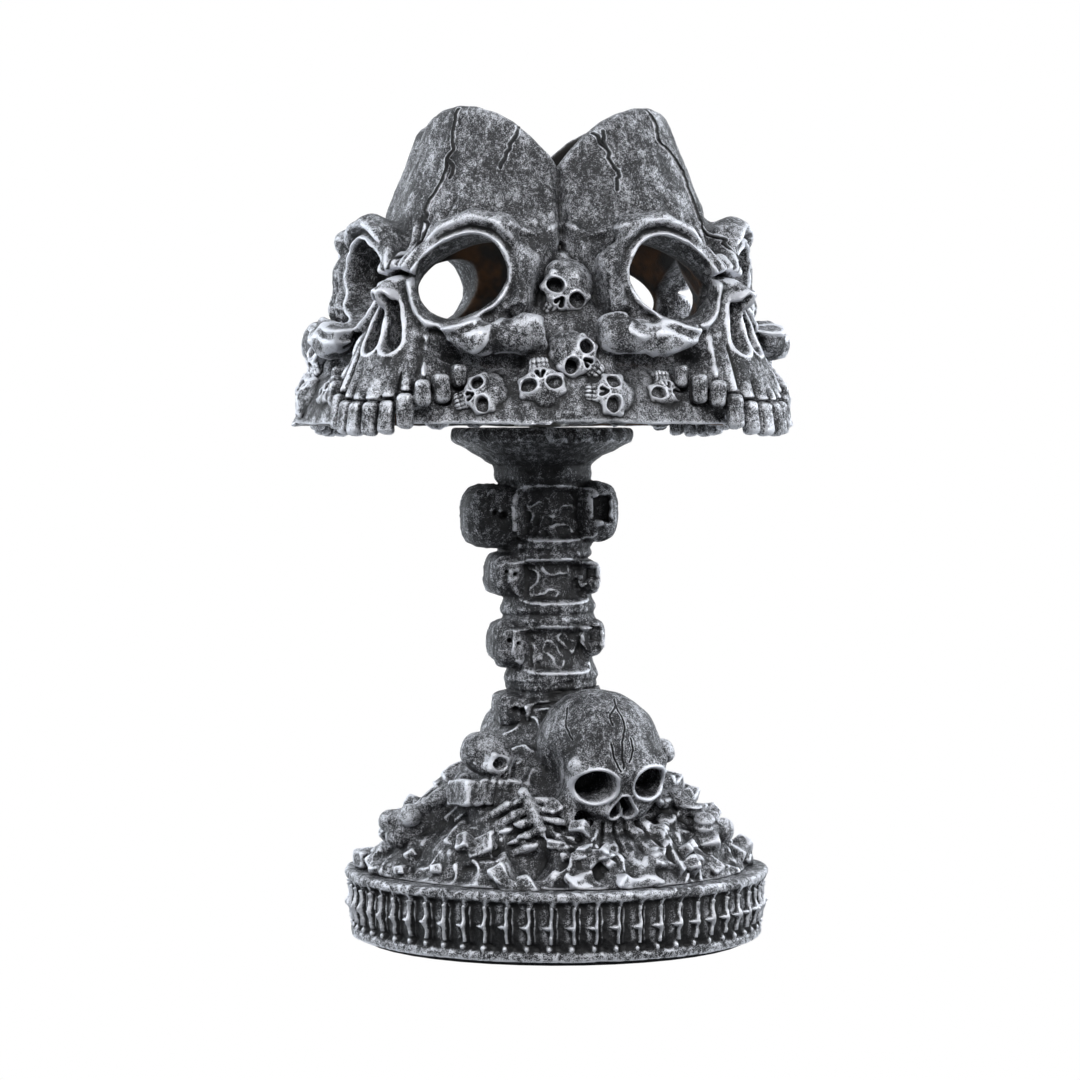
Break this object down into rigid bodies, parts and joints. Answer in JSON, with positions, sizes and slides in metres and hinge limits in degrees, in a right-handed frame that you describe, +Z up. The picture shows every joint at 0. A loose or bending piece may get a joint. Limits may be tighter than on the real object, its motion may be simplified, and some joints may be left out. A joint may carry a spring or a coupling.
{
  "type": "table lamp",
  "caption": "Cast table lamp: a flared shade formed of skull faces, on a spine column rising from a heap of bones on a round drum base with a ribbed frieze.",
  "frame": {"origin": "on the table plane, under the axis of the threaded tube that is also the axis of the shade", "axes": "+Z up; -Y is the front, where the large skull and the rib cage lie on the heap; +X is the right of a person facing the front; the four faces of the shade look along the diagonals"},
  "size_m": [0.2008, 0.2006, 0.3281],
  "materials": {
    "cast_resin": "black cast stone resin with silver rubbed over the high spots",
    "zinc_steel": "zinc plated",
    "brass": "plain",
    "black_plastic": "moulded",
    "holder_insert": "glazed",
    "bulb_glass": "frosted",
    "felt": "felt",
    "board": "hardboard",
    "rubber": "matt"
  },
  "bodies": {
    "root": {"stand_casting": "cast_resin", "shade_casting": "cast_resin", "threaded_tube": "zinc_steel", "lower_washer": "zinc_steel", "lower_nut": "zinc_steel", "upper_washer": "zinc_steel", "upper_nut": "zinc_steel", "holder_cap": "black_plastic", "holder_skirt": "black_plastic", "holder_ring": "black_plastic", "holder_insert": "holder_insert", "centre_contact": "brass", "side_contact": "brass", "locking_screw": "zinc_steel", "bulb": "bulb_glass", "shade_cross": "zinc_steel", "cross_screw_1": "zinc_steel", "cross_screw_2": "zinc_steel", "cross_screw_3": "zinc_steel", "cross_screw_4": "zinc_steel", "base_board": "board", "base_felt": "felt", "board_screw_1": "zinc_steel", "board_screw_2": "zinc_steel", "board_screw_3": "zinc_steel", "board_screw_4": "zinc_steel", "cord_grommet": "rubber", "cord_clamp": "black_plastic", "clamp_screw_1": "zinc_steel", "clamp_screw_2": "zinc_steel"}
  },
  "joints": []
}
